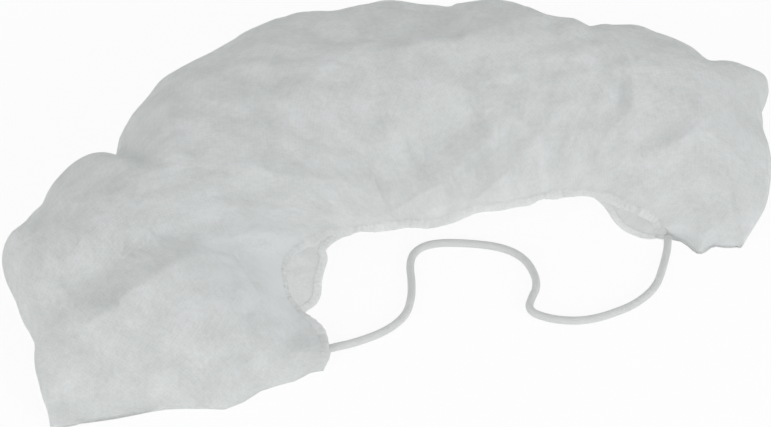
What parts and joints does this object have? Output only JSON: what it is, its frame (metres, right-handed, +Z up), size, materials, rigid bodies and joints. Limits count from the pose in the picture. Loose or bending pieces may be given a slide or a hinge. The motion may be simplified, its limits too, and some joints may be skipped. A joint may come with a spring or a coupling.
{
  "type": "beard cover",
  "caption": "Puffed crescent pouch of thin white nonwoven cloth with a gathered elastic mouth and a slack elastic head cord, lying on a surface; worn over a beard to catch hair.",
  "frame": {"origin": "on the table under the middle of the cloth's box, the head cord left out of account", "axes": "+X along the crescent from its left end to its right end, +Y from the mouth to the back rim, +Z up from the table"},
  "size_m": [0.3328, 0.1802, 0.0571],
  "materials": {
    "nonwoven_cloth": "matte spunbonded nonwoven, thin and a little see-through",
    "gathered_hem": "matte nonwoven folded over elastic, gathered and stitched",
    "elastic_cord": "soft knitted elastic, matte"
  },
  "bodies": {
    "root": {"lower_layer": "nonwoven_cloth", "upper_layer": "nonwoven_cloth", "mouth_hem": "gathered_hem", "head_cord": "elastic_cord"}
  },
  "joints": []
}
